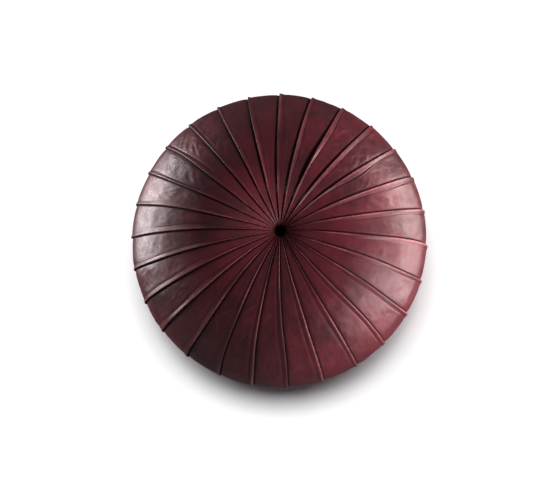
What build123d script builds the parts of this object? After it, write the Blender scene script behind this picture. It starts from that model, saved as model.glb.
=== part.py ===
"""Leather floor pouf: lapped gores round a stuffed core, with a zipped base.

Millimetres, +Z up. The origin is on the floor, in the middle of the base. +Y is the
side of the first seam. Seams are counted clockwise, seen from above.
"""

import os
from math import acos, asin, atan, cos, degrees, pi, radians, sin, sqrt

from build123d import *

# Whole pouf
gore_count = 27
rim_radius = 317.0
rim_height = 138.0
crown_rise = 149.0
crown_radius = 95.0
contact_radius = 205.0
rim_curve = 80.0
base_curve = 95.0

# Gathered centre of the top
hole_radius = 15.0
neck_depth = 18.0
dimple_curve = 105.0

# Leather and its lapped folds
leather = 1.4
fold_lift = 3.0
fold_width = 12.0
fold_end_low = 64.0
first_seam_turn = 0.1
uneven_sine = -1.85
uneven_cosine = -1.42

# Seam round the base
seam_radius = 194.0
lip_height = 10.0
welt_wire = 1.6
welt_height = 3.2
seam_gap = 0.3

# Base panel and its zip, which lies on a chord
panel_floor = 5.0
zip_y = -60.0
zip_length = 300.0
zip_opening = 10.4
tape_floor = 6.5
tape_thickness = 0.6
tape_edge = 3.1
tape_width = 13.0
tape_overrun = 10.0
tooth_pitch = 4.0
tooth_length = 1.8
tooth_inner = 0.6
tooth_outer = 3.0
tooth_floor = 5.9
tooth_top = 7.7

# Slider and pull
slider_length = 12.0
slider_width = 9.2
slider_floor = 4.3
slider_top = 9.1
plate_thickness = 1.2
plate_corner = 2.0
upper_plate_thickness = 1.0
flange_width = 0.6
flange_gap = 0.3
flange_length = 8.0
stop_clearance = 1.5
bridge_offset = 4.0
bridge_length = 3.0
bridge_thickness = 0.6
ear_inner = 1.9
ear_outer = 2.7
ear_half_length = 1.4
ear_floor = 1.9
pin_height = 3.0
pin_radius = 0.55
pin_bore = 0.62
pin_half_length = 2.6
barrel_radius = 0.9
barrel_half_length = 1.65
pull_length = 24.0
pull_width = 6.4
pull_thickness = 1.0
pull_neck_width = 3.0
pull_neck_length = 2.6
pull_hole = 1.2
pull_corner = 2.4
neck_start = 0.2
neck_overlap = 0.4
washer_chamfer = 0.4

# Stuffing, from outside to inside
liner_inset = 1.8
liner_thickness = 0.8
layer_gap = 0.4
wadding_thickness = 12.0
liner_floor = 10.5
well_radius = 26.0
well_floor = 226.0

# Tie from the gathered centre to the base
gather_wire = 2.0
gather_drop = 7.0
backing_radius = 14.6
backing_thickness = 2.0
backing_drop = 14.0
tie_radius = 1.5
tie_hole = 1.9
tie_bore = 3.0
knot_radius = 3.2
knot_length = 2.4
tie_foot = 6.8
washer_radius = 20.0
washer_floor = 7.7
washer_thickness = 2.5


def quarter_turn(first_curve, across, along):
    """Two tangent arcs that turn a right angle: the first one's angle, the second's radius.

    The first arc starts square to across. Its radius is first_curve.
    """
    turn = 90 - 2 * degrees(atan((along - first_curve) / (across - first_curve)))
    return turn, first_curve + (across - first_curve) / cos(radians(turn))


# Centres and radii of the four arcs of the cover's profile, from the dimple down to the floor.
shoulder_turn, crown_curve = quarter_turn(rim_curve, rim_radius - crown_radius, crown_rise)
haunch_turn, belly_curve = quarter_turn(base_curve, rim_height, rim_radius - contact_radius)
crown_top = rim_height + crown_rise
dimple_centre = (crown_radius, crown_top - dimple_curve)
crown_centre = (crown_radius, crown_top - crown_curve)
shoulder_centre = (rim_radius - rim_curve, rim_height)
belly_centre = (rim_radius - belly_curve, rim_height)
haunch_centre = (contact_radius, base_curve)


def dimple_end(radius, inset):
    """Angle at which the dimple's arc, moved in by inset, meets the given radius."""
    return degrees(acos((radius - crown_radius) / (dimple_curve - inset)))


def dimple_height(radius, inset):
    """Height of the dimple's arc, moved in by inset, at the given radius."""
    reach = dimple_curve - inset
    return dimple_centre[1] + sqrt(reach**2 - (crown_radius - radius) ** 2)


def cover_line(start_radius, inset, low_turn):
    """Draws the cover's profile moved in by inset, from start_radius in the dimple to low_turn."""
    rim_turn = 90 - haunch_turn
    dimple_turn = dimple_end(start_radius, inset)
    CenterArc(dimple_centre, dimple_curve - inset, dimple_turn, 90 - dimple_turn)
    CenterArc(crown_centre, crown_curve - inset, 90, shoulder_turn - 90)
    CenterArc(shoulder_centre, rim_curve - inset, shoulder_turn, -shoulder_turn)
    CenterArc(belly_centre, belly_curve - inset, 0, -rim_turn)
    haunch = CenterArc(haunch_centre, base_curve - inset, -rim_turn, rim_turn - low_turn)
    return haunch @ 1


def half_plane(azimuth):
    """Upright plane through the axis: its X runs outward at azimuth and its Y runs up."""
    turn = radians(azimuth)
    return Plane(
        origin=(0, 0, 0),
        x_dir=(cos(turn), sin(turn), 0),
        z_dir=(sin(turn), -cos(turn), 0),
    )


def seam_azimuth(index):
    """Azimuth of a seam in degrees. The hand-cut gores are a little wider towards -Y."""
    turn = 2 * pi * index / gore_count
    uneven = uneven_sine * sin(turn) + uneven_cosine * (cos(turn) - 1)
    return 90 - first_seam_turn - degrees(turn) - uneven


def stuffing_line(inset, floor):
    """Draws one surface of the stuffing, from the bore in the well to the one in the base."""
    low_turn = degrees(asin((base_curve - floor) / (base_curve - inset)))
    low_end = cover_line(well_radius + inset, inset, low_turn)
    Polyline(
        (tie_bore, well_floor - inset),
        (well_radius + inset, well_floor - inset),
        (well_radius + inset, dimple_height(well_radius + inset, inset)),
    )
    Line(low_end, (tie_bore, floor))


os.makedirs("parts", exist_ok=True)
clockwise = Axis((0, 0, 0), (0, 0, -1))
upright = Axis((0, 0, 0), (0, 0, 1))
pieces = []

# Gores: each runs from the hole in the top, over the rim, to the lip round the base panel.
neck_top = dimple_height(hole_radius, 0.0)
neck_foot = neck_top - neck_depth
neck_outside = hole_radius + leather
fold_angle = degrees(fold_width / rim_radius)
for index in range(gore_count):
    start = seam_azimuth(index)
    span = (start - seam_azimuth(index + 1)) % 360
    with BuildPart() as gore:
        with BuildSketch(half_plane(start)) as skin:
            with BuildLine():
                cover_line(hole_radius, 0.0, 90)
                Polyline(
                    (contact_radius, 0),
                    (seam_radius, 0),
                    (seam_radius, lip_height),
                    (seam_radius + leather, lip_height),
                    (seam_radius + leather, leather),
                    (contact_radius, leather),
                )
                cover_line(neck_outside, leather, 90)
                Polyline(
                    (neck_outside, dimple_height(neck_outside, leather)),
                    (neck_outside, neck_foot),
                    (hole_radius, neck_foot),
                    (hole_radius, neck_top),
                )
            make_face()
        revolve(axis=clockwise, revolution_arc=span)
        with BuildSketch(half_plane(start)) as fold:
            with BuildLine():
                outer_end = cover_line(hole_radius, -fold_lift, fold_end_low)
                inner_end = cover_line(hole_radius, leather / 2, fold_end_low)
                Line(outer_end, inner_end)
                Line(
                    (hole_radius, dimple_height(hole_radius, leather / 2)),
                    (hole_radius, dimple_height(hole_radius, -fold_lift)),
                )
            make_face()
        revolve(axis=clockwise, revolution_arc=fold_angle)
    gore.part.label = f"gore_{index + 1:02d}"
    pieces.append(gore.part)

# Drawstring round the necks of the gores, under the hole.
with BuildPart() as gather_cord:
    with BuildSketch(Plane.XZ) as cord_section:
        with Locations((hole_radius + leather + gather_wire + seam_gap, neck_top - gather_drop)):
            Circle(gather_wire)
    revolve(axis=upright)
gather_cord.part.label = "gather_cord"
pieces.append(gather_cord.part)

# Dark disc that closes the hole from inside.
backing_top = neck_top - backing_drop
with BuildPart() as hole_backing:
    with BuildSketch(Plane.XY.offset(backing_top - backing_thickness)) as disc:
        Circle(backing_radius)
        Circle(tie_hole, mode=Mode.SUBTRACT)
    extrude(amount=backing_thickness)
hole_backing.part.label = "hole_backing"
pieces.append(hole_backing.part)

# Tie that pulls the dimple in, with a knot at each end.
with BuildPart() as tie_cord:
    with BuildSketch(Plane.XY.offset(tie_foot)) as cord_end:
        Circle(tie_radius)
    extrude(amount=backing_top + knot_length - tie_foot)
    with BuildSketch(Plane.XY.offset(backing_top)) as upper_knot:
        Circle(knot_radius)
    extrude(amount=knot_length)
    fillet(tie_cord.faces().sort_by(Axis.Z)[-1].edges(), knot_length / 2)
    with BuildSketch(Plane.XY.offset(tie_foot)) as lower_knot:
        Circle(knot_radius)
    extrude(amount=washer_floor - tie_foot)
tie_cord.part.label = "tie_cord"
pieces.append(tie_cord.part)

with BuildPart() as base_tie_washer:
    with BuildSketch(Plane.XY.offset(washer_floor)) as washer_face:
        Circle(washer_radius)
        Circle(tie_hole, mode=Mode.SUBTRACT)
    extrude(amount=washer_thickness)
    washer_rims = base_tie_washer.edges().filter_by(GeomType.CIRCLE).group_by(SortBy.RADIUS)[-1]
    chamfer(washer_rims, washer_chamfer)
base_tie_washer.part.label = "base_tie_washer"
pieces.append(base_tie_washer.part)

# Stuffing: a cotton bag, a wadding wrap and the core, each a layer inside the last.
wadding_inset = liner_inset + liner_thickness + layer_gap
wadding_floor = liner_floor + liner_thickness + layer_gap
core_inset = wadding_inset + wadding_thickness + layer_gap
core_floor = wadding_floor + wadding_thickness + layer_gap
layers = [
    ("inner_liner", liner_inset, liner_floor, liner_thickness),
    ("wadding_wrap", wadding_inset, wadding_floor, wadding_thickness),
    ("foam_core", core_inset, core_floor, 0.0),
]
for label, inset, floor, thickness in layers:
    with BuildPart() as layer:
        with BuildSketch(Plane.XZ) as layer_section:
            with BuildLine():
                stuffing_line(inset, floor)
                if thickness > 0:
                    stuffing_line(inset + thickness, floor + thickness)
                    Line((tie_bore, well_floor - inset), (tie_bore, well_floor - inset - thickness))
                    Line((tie_bore, floor), (tie_bore, floor + thickness))
                else:
                    Line((tie_bore, well_floor - inset), (tie_bore, floor))
            make_face()
        revolve(axis=upright)
    layer.part.label = label
    pieces.append(layer.part)

# Base panel in two halves, one on each side of the zip.
panel_radius = seam_radius - seam_gap
for label, side in (("base_panel_front", -1), ("base_panel_rear", 1)):
    with BuildPart() as panel:
        with BuildSketch(Plane.XY.offset(panel_floor)) as panel_face:
            Circle(panel_radius)
            with Locations((0, zip_y + side * (zip_opening / 2 - 2 * panel_radius))):
                Rectangle(4 * panel_radius, 4 * panel_radius, mode=Mode.SUBTRACT)
        extrude(amount=leather)
    panel.part.label = label
    pieces.append(panel.part)

# Piping in the corner between the lip and the base panel.
with BuildPart() as base_welt:
    with BuildSketch(Plane.XZ) as piping_section:
        with Locations((seam_radius - welt_wire - 2 * seam_gap, welt_height)):
            Circle(welt_wire)
    revolve(axis=upright)
base_welt.part.label = "base_welt"
pieces.append(base_welt.part)

# Zip: two tapes, two rows of teeth and the stops at both ends.
tooth_count = round(zip_length / tooth_pitch) - 1
stop_x = zip_length / 2
for label, side in (("front", -1), ("rear", 1)):
    with BuildPart() as tape:
        with BuildSketch(Plane.XY.offset(tape_floor)) as tape_face:
            with Locations((0, zip_y + side * (tape_edge + tape_width / 2))):
                Rectangle(zip_length + 2 * tape_overrun, tape_width)
        extrude(amount=tape_thickness)
    tape.part.label = f"zip_tape_{label}"
    pieces.append(tape.part)
    with BuildPart() as teeth:
        with BuildSketch(Plane.XY.offset(tooth_floor)) as teeth_face:
            with Locations((side * tooth_pitch / 4, zip_y + side * (tooth_inner + tooth_outer) / 2)):
                with GridLocations(tooth_pitch, 0, tooth_count, 1):
                    Rectangle(tooth_length, tooth_outer - tooth_inner)
        extrude(amount=tooth_top - tooth_floor)
    teeth.part.label = f"zip_teeth_{label}"
    pieces.append(teeth.part)

with BuildPart() as top_stops:
    with BuildSketch(Plane.XY.offset(tooth_floor)) as top_stop_face:
        with Locations((-stop_x, zip_y)):
            with GridLocations(0, tooth_inner + tooth_outer, 1, 2):
                Rectangle(tooth_length, tooth_outer - tooth_inner)
    extrude(amount=tooth_top - tooth_floor)
top_stops.part.label = "zip_top_stops"
pieces.append(top_stops.part)

with BuildPart() as bottom_stop:
    with BuildSketch(Plane.XY.offset(tooth_floor)) as bottom_stop_face:
        with Locations((stop_x, zip_y)):
            Rectangle(tooth_length, 2 * tooth_outer)
    extrude(amount=tooth_top - tooth_floor)
bottom_stop.part.label = "zip_bottom_stop"
pieces.append(bottom_stop.part)

# Slider, at the closed end: two plates with flanges, the bridge between them and the pull's ears.
travel_end = stop_x - tooth_length / 2 - slider_length / 2 - stop_clearance
slider_x = -travel_end
plate_face = slider_floor + plate_thickness
with BuildPart() as slider:
    with BuildSketch(Plane.XY.offset(slider_floor)) as lower_plate:
        with Locations((slider_x, zip_y)):
            RectangleRounded(slider_length, slider_width, plate_corner)
    extrude(amount=plate_thickness)
    with BuildSketch(Plane.XY.offset(slider_top - upper_plate_thickness)) as upper_plate:
        with Locations((slider_x, zip_y)):
            RectangleRounded(slider_length, slider_width, plate_corner)
    extrude(amount=upper_plate_thickness)
    with BuildSketch(Plane.XY.offset(plate_face)) as lower_flanges:
        with Locations((slider_x, zip_y)):
            with GridLocations(0, slider_width - flange_width, 1, 2):
                Rectangle(flange_length, flange_width)
    extrude(amount=tape_floor - flange_gap - plate_face)
    with BuildSketch(Plane.XY.offset(tape_floor + tape_thickness + flange_gap)) as upper_flanges:
        with Locations((slider_x, zip_y)):
            with GridLocations(0, slider_width - flange_width, 1, 2):
                Rectangle(flange_length, flange_width)
    extrude(until=Until.NEXT)
    with BuildSketch(Plane.XY.offset(plate_face)) as bridge:
        with Locations((slider_x - bridge_offset, zip_y)):
            Rectangle(bridge_length, bridge_thickness)
    extrude(until=Until.NEXT)
    with BuildSketch(Plane.XY.offset(ear_floor)) as ears:
        with Locations((slider_x, zip_y)):
            with GridLocations(0, ear_inner + ear_outer, 1, 2):
                Rectangle(2 * ear_half_length, ear_outer - ear_inner)
    extrude(amount=slider_floor - ear_floor)
    with BuildSketch(Plane.XZ.offset(-zip_y - slider_width / 2)) as ear_bore:
        with Locations((slider_x, pin_height)):
            Circle(pin_bore)
    extrude(amount=slider_width, mode=Mode.SUBTRACT)
slider.part.label = "zip_slider"
pieces.append(slider.part)

# Pull: a flat tab with a barrel between the ears, and a pin through them.
with BuildPart() as pull:
    with BuildSketch(Plane.XZ.offset(-zip_y - barrel_half_length)) as barrel:
        with Locations((slider_x, pin_height)):
            Circle(barrel_radius)
    extrude(amount=2 * barrel_half_length)
    with BuildSketch(Plane.XZ.offset(-zip_y - pin_half_length)) as pin:
        with Locations((slider_x, pin_height)):
            Circle(pin_radius)
    extrude(amount=2 * pin_half_length)
    with BuildSketch(Plane.XY.offset(pin_height - pull_thickness / 2)) as tab:
        with Locations((slider_x + pull_neck_length / 2 + neck_start, zip_y)):
            Rectangle(pull_neck_length + neck_overlap, pull_neck_width)
        with Locations((slider_x + (pull_length + pull_neck_length) / 2, zip_y)):
            RectangleRounded(pull_length - pull_neck_length, pull_width, pull_corner)
        with Locations((slider_x + pull_length - pull_width / 2, zip_y)):
            Circle(pull_hole, mode=Mode.SUBTRACT)
    extrude(amount=pull_thickness)
pull.part.label = "zip_pull"
pieces.append(pull.part)

for piece in pieces:
    export_step(piece, f"parts/{piece.label}.step")
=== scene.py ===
"""Looks of the leather pouf: lapped gores, gathered hole, seams, stuffing, zipped base, light and camera.

Metres, in the CAD frame: +Z up, the origin on the floor in the middle of the base. Gores are
counted clockwise, seen from above, from the seam on the +Y side.
"""

import math

import bpy
import numpy as np
from mathutils import Matrix, Vector


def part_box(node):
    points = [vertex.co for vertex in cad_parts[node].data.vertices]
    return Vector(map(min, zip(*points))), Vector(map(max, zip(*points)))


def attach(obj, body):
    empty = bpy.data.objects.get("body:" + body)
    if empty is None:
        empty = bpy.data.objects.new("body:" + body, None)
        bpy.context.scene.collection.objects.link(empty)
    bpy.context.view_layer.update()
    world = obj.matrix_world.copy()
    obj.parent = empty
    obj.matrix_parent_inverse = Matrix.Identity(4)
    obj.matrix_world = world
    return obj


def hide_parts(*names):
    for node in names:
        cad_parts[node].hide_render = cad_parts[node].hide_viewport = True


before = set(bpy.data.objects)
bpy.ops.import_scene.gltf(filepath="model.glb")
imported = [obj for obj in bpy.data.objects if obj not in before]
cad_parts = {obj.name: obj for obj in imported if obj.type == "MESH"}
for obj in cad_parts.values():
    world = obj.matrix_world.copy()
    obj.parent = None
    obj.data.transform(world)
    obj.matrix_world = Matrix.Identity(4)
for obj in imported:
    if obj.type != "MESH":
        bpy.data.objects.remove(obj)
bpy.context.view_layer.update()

MM = 0.001
GORES = 27
BODY = "pouf"

# Cover profile, the same arcs as the CAD cover
RIM_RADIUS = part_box("gore_01")[1].y - 3.0 * MM
RIM_HEIGHT = 138.0 * MM
CROWN_RISE = 149.0 * MM
CROWN_RADIUS = 95.0 * MM
CONTACT_RADIUS = 205.0 * MM
RIM_CURVE = 80.0 * MM
BASE_CURVE = 95.0 * MM
WELL_RADIUS = 26.0 * MM
WELL_FLOOR = 226.0 * MM
TIE_BORE = 3.2 * MM
DIMPLE_CURVE = 105.0 * MM
LINER_INSET = 4.2 * MM
LINER_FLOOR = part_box("inner_liner")[0].z
WADDING_INSET = 5.6 * MM
WADDING_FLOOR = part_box("wadding_wrap")[0].z + 0.4 * MM
CORE_INSET = 15.6 * MM
CORE_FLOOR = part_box("foam_core")[0].z + 0.2 * MM
BASE_SEAM_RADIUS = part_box("base_welt")[1].x + 0.6 * MM
LIP_TOP = 9.0 * MM
HOLE_RADIUS = 15.0 * MM
NECK_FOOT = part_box("hole_backing")[0].z
DIMPLE_DEPTH = 26.0 * MM
DIMPLE_WIDTH = 34.0 * MM
HOLE_SHIFT = 6.0 * MM
HOLE_SHIFT_REACH = 70.0 * MM

# Seams: where they start, and how uneven the hand-cut gores are, in degrees
FIRST_SEAM = 0.1
UNEVEN_SINE = -1.85
UNEVEN_COSINE = -1.42

# Lapped fold
FOLD_LIFT = 3.0 * MM
TUCK_WIDTH = 12.0 * MM
LEATHER = 0.9 * MM
# Gores whose far edge gapes under the next fold, and how much wider the gap is in the middle of the seam
GAPES = {25: 0.3, 26: 0.4, 0: 0.5, 1: 1.3, 2: 0.5, 3: 0.4, 4: 0.2}
GAPE_MIDDLE = 0.5
GAPE_SPREAD = 0.22
GAP_WIDTH = 4.5 * MM
FLOOR_CLEARANCE = 0.1 * MM

# Sides of the pouf, as azimuths in degrees: where the seam allowances show most, where the leather
# puckers most (along the axis on both sides), and where a painted highlight lies pale round the hole, and how
# far it reaches
RIDGE_SIDE = 35
PUCKER_AXIS = 52
PUCKER_SIDE = 145
HOLE_HIGHLIGHT_SIDE = 125
HOLE_HIGHLIGHT_RADIUS = 72 * MM

# Distance between the rows of a gore's mesh
ROW_STEP = 2.0 * MM


# ---------------------------------------------------------------- shape of the cover

def quarter_turn(first_curve, across, along):
    """Two tangent arcs that turn a right angle: the first one's angle, the second's radius."""
    turn = math.pi / 2 - 2 * math.atan((along - first_curve) / (across - first_curve))
    return turn, first_curve + (across - first_curve) / math.cos(turn)


SHOULDER, CROWN_CURVE = quarter_turn(RIM_CURVE, RIM_RADIUS - CROWN_RADIUS, CROWN_RISE)
HAUNCH, BELLY_CURVE = quarter_turn(BASE_CURVE, RIM_HEIGHT, RIM_RADIUS - CONTACT_RADIUS)
RIM_TURN = math.pi / 2 - HAUNCH
CROWN_TOP = RIM_HEIGHT + CROWN_RISE


def arc(centre, radius, start, end, count):
    """Points on an arc, without its last one."""
    turn = np.linspace(start, end, count, endpoint=False)
    return np.stack([centre[0] + radius * np.cos(turn), centre[1] + radius * np.sin(turn)], axis=1)


def cover_outline():
    """Fine outline of the cover, as (radius, height), from the foot of the neck to the lip's top."""
    radius = np.linspace(HOLE_RADIUS, CROWN_RADIUS, 80, endpoint=False)
    dimple = np.stack([radius, np.full_like(radius, CROWN_TOP)], axis=1)
    crown = arc((CROWN_RADIUS, CROWN_TOP - CROWN_CURVE), CROWN_CURVE, math.pi / 2, SHOULDER, 200)
    top = np.concatenate([dimple, crown])
    top[:, 1] -= DIMPLE_DEPTH * np.exp(-(top[:, 0] - HOLE_RADIUS) / DIMPLE_WIDTH)
    lip_start = top[0]
    neck_turn = np.linspace(0, 1, 24, endpoint=False)
    neck = np.stack([
        lip_start[0] - 2.6 * MM * (1 - neck_turn**3),
        NECK_FOOT + (lip_start[1] - NECK_FOOT) * neck_turn,
    ], axis=1)
    lower = [
        arc((RIM_RADIUS - RIM_CURVE, RIM_HEIGHT), RIM_CURVE, SHOULDER, 0, 80),
        arc((RIM_RADIUS - BELLY_CURVE, RIM_HEIGHT), BELLY_CURVE, 0, -RIM_TURN, 80),
        arc((CONTACT_RADIUS, BASE_CURVE), BASE_CURVE, -RIM_TURN, -math.pi / 2, 80),
        arc((BASE_SEAM_RADIUS + 2 * MM, 2 * MM), 2 * MM, -math.pi / 2, -math.pi, 10),
        np.array([[BASE_SEAM_RADIUS, LIP_TOP]]),
    ]
    return np.concatenate([neck, top, *lower])


class Profile:
    """The cover's outline, evenly resampled: radius, height, outward normal and length along it."""

    def __init__(self, step):
        line = cover_outline()
        length = np.concatenate([[0], np.cumsum(np.linalg.norm(np.diff(line, axis=0), axis=1))])
        rows = int(round(length[-1] / step)) + 1
        self.length = np.linspace(0, length[-1], rows)
        self.radius = np.interp(self.length, length, line[:, 0])
        self.height = np.interp(self.length, length, line[:, 1])
        slope = np.stack([np.gradient(self.radius), np.gradient(self.height)], axis=1)
        slope /= np.linalg.norm(slope, axis=1)[:, None]
        self.normal = np.stack([-slope[:, 1], slope[:, 0]], axis=1)


def seam_azimuth(index):
    """Azimuth of a seam in radians, before its own waviness."""
    turn = 2 * math.pi * index / GORES
    uneven = UNEVEN_SINE * math.sin(turn) + UNEVEN_COSINE * (math.cos(turn) - 1)
    return math.radians(90 - FIRST_SEAM - uneven) - turn


def waves(seed, count, longest, shortest):
    """A smooth random function of two coordinates in metres, made of plane waves, about -1 to 1."""
    rng = np.random.default_rng(seed)
    size = np.exp(rng.uniform(math.log(shortest), math.log(longest), count))
    turn = rng.uniform(0, 2 * math.pi, count)
    phase = rng.uniform(0, 2 * math.pi, count)
    weight = (size / longest) ** 0.5
    weight /= math.sqrt((weight**2).sum() / 2)

    def value(x, y):
        total = np.zeros(np.broadcast(x, y).shape)
        for s, t, p, w in zip(size, turn, phase, weight):
            total += w * np.sin(2 * math.pi / s * (x * math.cos(t) + y * math.sin(t)) + p)
        return total

    return value


def seam_line(index, profile):
    """Azimuth of a seam at each row, with the slight waviness of a hand-sewn line."""
    index = index % GORES
    drift = waves(100 + index, 5, 0.45, 0.16)
    across = 1.3 * MM * drift(profile.length, 0.0 * profile.length)
    ease = np.clip(profile.radius / RIM_RADIUS, 0, 1)
    return seam_azimuth(index) + across * ease / profile.radius


def smooth(x, low, high):
    """0 below low, 1 above high, eased between."""
    t = np.clip((x - low) / (high - low), 0, 1)
    return t * t * (3 - 2 * t)


# ---------------------------------------------------------------- cloth simulation

SIM_ACROSS = 10
SIM_ROWS = 84
SIM_FRAMES = 20
SIM_REFINEMENTS = 2
SIM_INNER_RADIUS = 55.0 * MM
START_RIPPLE = 0.12 * MM
SPARE_LEATHER = 0.04
PRESSURE = 4.0
# How much of the simulated lift the gores take, and its limits
SIM_SHARE = 0.36
DEEPEST_DENT = -1.2 * MM
HIGHEST_BULGE = 3.0 * MM


def simulate_cover():
    """Puckers and bulge of the gores, from a cloth simulation of the closed cover blown up by its stuffing.

    The seams are held, and the leather beside them is a little longer than they are. Returns the
    length along the profile of each simulated row, and the outward lift as gores x rows x places across.
    """
    fine = Profile(ROW_STEP)
    begin = int(np.argmax(fine.radius > SIM_INNER_RADIUS))
    outer = int(np.argmax(fine.radius))
    end = outer + int(np.argmax(fine.radius[outer:] < CONTACT_RADIUS))
    pick = np.linspace(begin, end, SIM_ROWS).astype(int)
    columns = GORES * SIM_ACROSS
    seams = np.stack([seam_line(k, fine)[pick] for k in range(GORES)])
    following = np.roll(seams, -1, axis=0)
    following[-1] -= 2 * math.pi
    share = np.arange(SIM_ACROSS) / SIM_ACROSS
    azimuth = seams[:, None, :] + (following - seams)[:, None, :] * share[None, :, None]
    azimuth = azimuth.reshape(columns, SIM_ROWS)
    radius, height, normal = fine.radius[pick], fine.height[pick], fine.normal[pick]
    outward = np.stack([
        normal[None, :, 0] * np.cos(azimuth),
        normal[None, :, 0] * np.sin(azimuth),
        np.broadcast_to(normal[None, :, 1], azimuth.shape),
    ], axis=2)
    base = np.stack([
        radius[None, :] * np.cos(azimuth),
        radius[None, :] * np.sin(azimuth),
        np.broadcast_to(height[None, :], azimuth.shape),
    ], axis=2)
    around = np.arange(columns)[:, None] * (2 * math.pi * RIM_RADIUS / columns) + 0 * azimuth
    start = START_RIPPLE * waves(7, 60, 0.04, 0.014)(around, fine.length[pick][None, :] + 0 * azimuth)
    start[::SIM_ACROSS] = 0
    points = base + start[:, :, None] * outward
    ids = np.arange(columns * SIM_ROWS).reshape(columns, SIM_ROWS)
    beside = np.roll(ids, -1, axis=0)
    faces = np.stack([ids[:, :-1], ids[:, 1:], beside[:, 1:], beside[:, :-1]], axis=2).reshape(-1, 4)
    lids = [ids[::-1, 0].tolist(), ids[:, -1].tolist()]
    mesh = bpy.data.meshes.new("cloth_cover")
    mesh.from_pydata(points.reshape(-1, 3).tolist(), [], faces.tolist() + lids)
    cover = bpy.data.objects.new("cloth_cover", mesh)
    bpy.context.scene.collection.objects.link(cover)
    held = cover.vertex_groups.new(name="held")
    rings = ids[:, :2].ravel().tolist() + ids[:, -2:].ravel().tolist()
    held.add(sorted(set(ids[::SIM_ACROSS].ravel().tolist() + rings)), 1.0, "REPLACE")
    loose = cover.vertex_groups.new(name="loose")
    beside_seam = np.abs(np.tile(share, GORES) - 0.5)[:, None] * 2
    uneven = 0.55 + 0.45 * waves(11, 12, 0.4, 0.12)(base[:, :, 0], base[:, :, 1])
    slack = uneven * (0.25 + 0.75 * beside_seam**2)
    for vertex, weight in zip(ids.ravel().tolist(), np.clip(slack, 0, 1).ravel().tolist()):
        loose.add([vertex], weight, "REPLACE")
    cloth = cover.modifiers.new("Cloth", "CLOTH")
    settings = cloth.settings
    settings.quality = 6
    settings.mass = 0.3
    settings.tension_stiffness = 40
    settings.compression_stiffness = 40
    settings.shear_stiffness = 20
    settings.bending_stiffness = 9
    settings.tension_damping = 15
    settings.compression_damping = 15
    settings.bending_damping = 2
    settings.air_damping = 6
    settings.use_pressure = True
    settings.uniform_pressure_force = PRESSURE
    settings.vertex_group_mass = "held"
    settings.vertex_group_shrink = "loose"
    settings.shrink_min = 0.0
    settings.shrink_max = -SPARE_LEATHER
    settings.effector_weights.gravity = 0
    cloth.collision_settings.use_collision = False
    scene = bpy.context.scene
    scene.frame_end = SIM_FRAMES
    cloth.point_cache.frame_end = SIM_FRAMES
    for number in range(1, SIM_FRAMES + 1):
        scene.frame_set(number)
    result = cover.evaluated_get(bpy.context.evaluated_depsgraph_get()).to_mesh()
    moved = np.zeros(len(result.vertices) * 3, np.float32)
    result.vertices.foreach_get("co", moved)
    cover.to_mesh_clear()
    scene.frame_set(1)
    bpy.data.objects.remove(cover)
    bpy.data.meshes.remove(mesh)
    moved = moved.reshape(columns, SIM_ROWS, 3).astype(float)
    lift = ((moved - base) * outward).sum(axis=2)
    lift = lift.reshape(GORES, SIM_ACROSS, SIM_ROWS).transpose(0, 2, 1)
    lift = np.concatenate([lift, np.zeros((GORES, SIM_ROWS, 1))], axis=2)
    return fine.length[pick], lift


def refine(values, axis):
    """Twice as many samples along an axis, on a smooth curve through the old ones."""
    v = np.moveaxis(values, axis, 0)
    wide = np.concatenate([v[:1], v, v[-1:]])
    fine = np.empty((2 * len(v) - 1, *v.shape[1:]))
    fine[::2] = v
    fine[1::2] = (9 * (v[:-1] + v[1:]) - wide[:-3] - wide[3:]) / 16
    return np.moveaxis(fine, 0, axis)


# ---------------------------------------------------------------- one gore

ROLL_STEPS = 7
PANEL_STEPS = 34
TURNED_COLUMNS = 6
# Places down a fold's slope, in tuck widths from its crest, and where the panel begins
SLOPE_PLACES = (0.10, 0.20, 0.30, 0.40, 0.50, 0.60, 0.70, 0.78, 0.85, 0.92, 0.98, 1.05, 1.13, 1.22)
PANEL_START = 1.28
# The far edge under the next fold: place, as a share of the gap from the seam, and height, in fold lifts
FAR_EDGE = ((0.75, -0.40), (0.45, -0.52), (0.1, -0.58))


def gore_section(tuck, lift, width, gap, ridge, pinch):
    """Cross-section of a gore at every row: distance clockwise from its seam, and height off the cover.

    It starts on the turned-under edge, rolls round the crest of the fold, slopes down over the
    tuck to the seam allowance's edge, which shows as a slight ridge, runs over the panel, and
    ends under the next gore's fold.
    """
    roll = np.minimum(0.36 * lift, 0.30 * tuck + 0.35 * MM)
    under = 0.12 * lift
    top = under + 2 * roll
    x = [0.62 * tuck, 0.36 * tuck]
    h = [under, under]
    for turn in np.linspace(1.5, 0.4, ROLL_STEPS) * math.pi:
        x.append(roll + roll * math.cos(turn))
        rise = smooth(turn, 1.5 * math.pi, 0.6 * math.pi)
        h.append(under + roll + roll * math.sin(turn) + (lift - top) * rise)
    begin = x[-1]
    for place in SLOPE_PLACES:
        x.append(begin + (PANEL_START * tuck - begin) * place / PANEL_START)
        slope = 0.93 * (1 - place) ** 1.25 if place < 1 else 0.0
        crown = math.exp(-(((place - 1.0) / 0.11) ** 2))
        hollow = 0.55 * math.exp(-(((place - 0.72) / 0.16) ** 2))
        h.append(lift * (slope + 0.13 + 0.16 * smooth(place, 0.9, 1.3) + ridge * (crown - hollow)))
    first, last = PANEL_START * tuck, width - gap
    for share in np.linspace(0, 1, PANEL_STEPS):
        x.append(first + (last - first) * share)
        h.append(lift * (0.29 * (1 - share) ** 2 - 0.30 * share**7) - 0.45 * pinch * share**3)
    for place, level in FAR_EDGE:
        x.append(width - place * gap)
        h.append(level * lift - (1 - 0.55 * place) * pinch)
    x.append(width + 0.35 * tuck)
    h.append(-0.58 * lift - pinch)
    return np.stack(x, axis=1), np.stack(h, axis=1)


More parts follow.
